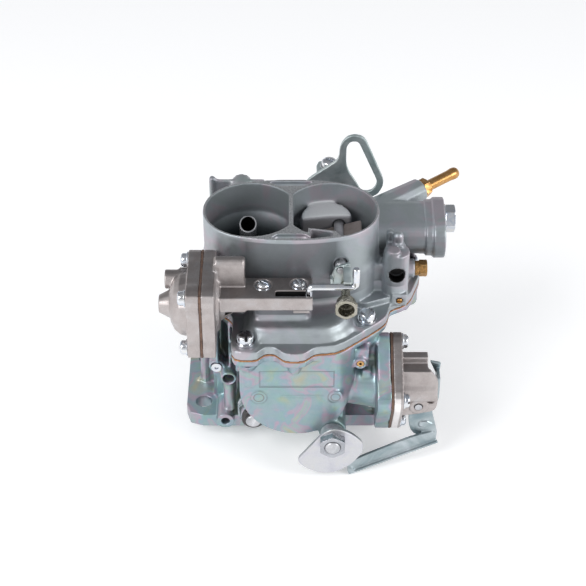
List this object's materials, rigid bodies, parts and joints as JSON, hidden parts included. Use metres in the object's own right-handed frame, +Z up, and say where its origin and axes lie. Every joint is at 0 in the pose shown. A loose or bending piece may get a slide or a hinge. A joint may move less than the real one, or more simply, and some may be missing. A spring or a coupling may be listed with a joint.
{
  "type": "carburetor",
  "caption": "Twin-barrel downdraught carburetor with oval air horn, float bowl, throttles, choke, accelerator pump and vacuum pull-down unit.",
  "frame": {"origin": "centre of the mounting flange's bottom face, between the two bores", "axes": "+Z up out of the air horn, -Y towards the float bowl, +X towards the accelerator pump and fuel inlet"},
  "size_m": [0.1634, 0.1429, 0.15],
  "materials": {
    "body_zinc": "passivated die-cast zinc, satin with an iridescent film",
    "cover_zinc": "passivated die-cast zinc, satin",
    "cast_aluminium": "as-cast, fine grain",
    "bright_zinc": "bright zinc plate",
    "lever_zinc": "dark zinc plate",
    "steel": "turned",
    "nickel": "warm plated",
    "brass": "turned",
    "gasket": "pressed fibre sheet",
    "diaphragm": "matt",
    "float_plastic": "moulded"
  },
  "bodies": {
    "carburetor": {"main_body": "body_zinc", "cover_gasket": "gasket", "top_cover": "cover_zinc", "cover_screw_front_left": "bright_zinc", "cover_screw_front_right": "bright_zinc", "cover_screw_right": "bright_zinc", "cover_screw_rear": "bright_zinc", "cover_screw_rear_left": "bright_zinc", "inlet_pipe": "brass", "inlet_plug_bolt": "bright_zinc", "needle_seat": "brass", "float_pin": "steel", "main_jet": "brass", "idle_jet": "brass", "tower_jet": "brass", "vent_tube": "steel", "booster_primary": "cover_zinc", "booster_secondary": "cover_zinc", "gallery_plug": "bright_zinc", "mixture_screw": "bright_zinc", "return_spring": "steel", "pump_diaphragm": "diaphragm", "pump_cover": "cast_aluminium", "pump_screw_1": "bright_zinc", "pump_screw_2": "bright_zinc", "pump_screw_3": "bright_zinc", "pump_screw_4": "bright_zinc", "pump_lever_pin": "steel", "pump_spring": "steel", "vacuum_housing": "cast_aluminium", "vacuum_diaphragm": "diaphragm", "vacuum_cover": "cast_aluminium", "vacuum_screw_1": "bright_zinc", "vacuum_screw_2": "bright_zinc", "vacuum_screw_3": "bright_zinc", "vacuum_screw_4": "bright_zinc", "vacuum_spring": "steel", "beam_screw_1": "bright_zinc", "beam_screw_2": "bright_zinc", "rear_bracket": "lever_zinc", "bracket_screw": "bright_zinc", "clamp_screw": "bright_zinc"},
    "primary_throttle": {"primary_shaft": "steel", "primary_plate": "nickel", "pump_cam": "bright_zinc", "cam_nut": "bright_zinc", "primary_lever": "bright_zinc"},
    "secondary_throttle": {"secondary_shaft": "steel", "secondary_plate": "nickel", "secondary_lever": "bright_zinc"},
    "link_bar": {"throttle_link": "bright_zinc"},
    "pump_rocker": {"pump_lever": "lever_zinc"},
    "plunger": {"pump_plunger": "steel"},
    "choke": {"choke_shaft": "steel", "choke_plate": "nickel", "choke_lever": "lever_zinc"},
    "clamp": {"cable_clamp": "nickel"},
    "pulldown": {"pulldown_rod": "bright_zinc"},
    "float_assembly": {"float": "float_plastic"},
    "needle": {"inlet_needle": "steel"}
  },
  "joints": [
    {"name": "primary_throttle_turn", "type": "hinge", "parent": "carburetor", "child": "primary_throttle", "pos_m": [0.022, 0, 0.018], "axis": [0, 1, 0], "range_deg": [-80, 0]},
    {"name": "secondary_throttle_turn", "type": "hinge", "parent": "carburetor", "child": "secondary_throttle", "pos_m": [-0.0205, 0, 0.018], "axis": [0, 1, 0], "range_deg": [-80, 0]},
    {"name": "throttle_link_turn", "type": "hinge", "parent": "primary_throttle", "child": "link_bar", "pos_m": [0.022, 0.04075, 0.034], "axis": [0, 1, 0], "range_deg": [0, 80]},
    {"name": "pump_lever_turn", "type": "hinge", "parent": "carburetor", "child": "pump_rocker", "pos_m": [0.068, -0.0428, 0.0302], "axis": [0, 1, 0], "range_deg": [-12, 0]},
    {"name": "pump_plunger_slide", "type": "slide", "parent": "carburetor", "child": "plunger", "axis": [1, 0, 0], "range_m": [-0.0016, 0]},
    {"name": "choke_turn", "type": "hinge", "parent": "carburetor", "child": "choke", "pos_m": [0.0255, -0.029, 0.1082], "axis": [0, 1, 0], "range_deg": [-60, 0]},
    {"name": "cable_clamp_swivel", "type": "hinge", "parent": "choke", "child": "clamp", "pos_m": [0.028, -0.04, 0.0991], "axis": [0, 1, 0], "range_deg": [-40, 40]},
    {"name": "pulldown_slide", "type": "slide", "parent": "carburetor", "child": "pulldown", "axis": [1, 0, 0], "range_m": [-0.0029, 0]},
    {"name": "float_drop", "type": "hinge", "parent": "carburetor", "child": "float_assembly", "pos_m": [0.003, -0.0285, 0.065], "axis": [1, 0, 0], "range_deg": [0, 10]},
    {"name": "needle_slide", "type": "slide", "parent": "carburetor", "child": "needle", "axis": [0, 0, 1], "range_m": [-0.0022, 0]}
  ],
  "couplings": [
    {"joint": "secondary_throttle_turn", "follows": "primary_throttle_turn", "ratio": 1},
    {"joint": "throttle_link_turn", "follows": "primary_throttle_turn", "ratio": -1},
    {"joint": "pump_lever_turn", "follows": "primary_throttle_turn", "ratio": 0.15},
    {"joint": "pump_plunger_slide", "follows": "primary_throttle_turn", "m_per_rad": 0.001145},
    {"joint": "pulldown_slide", "follows": "choke_turn", "m_per_rad": 0.00276},
    {"joint": "needle_slide", "follows": "float_drop", "m_per_rad": -0.0126}
  ]
}
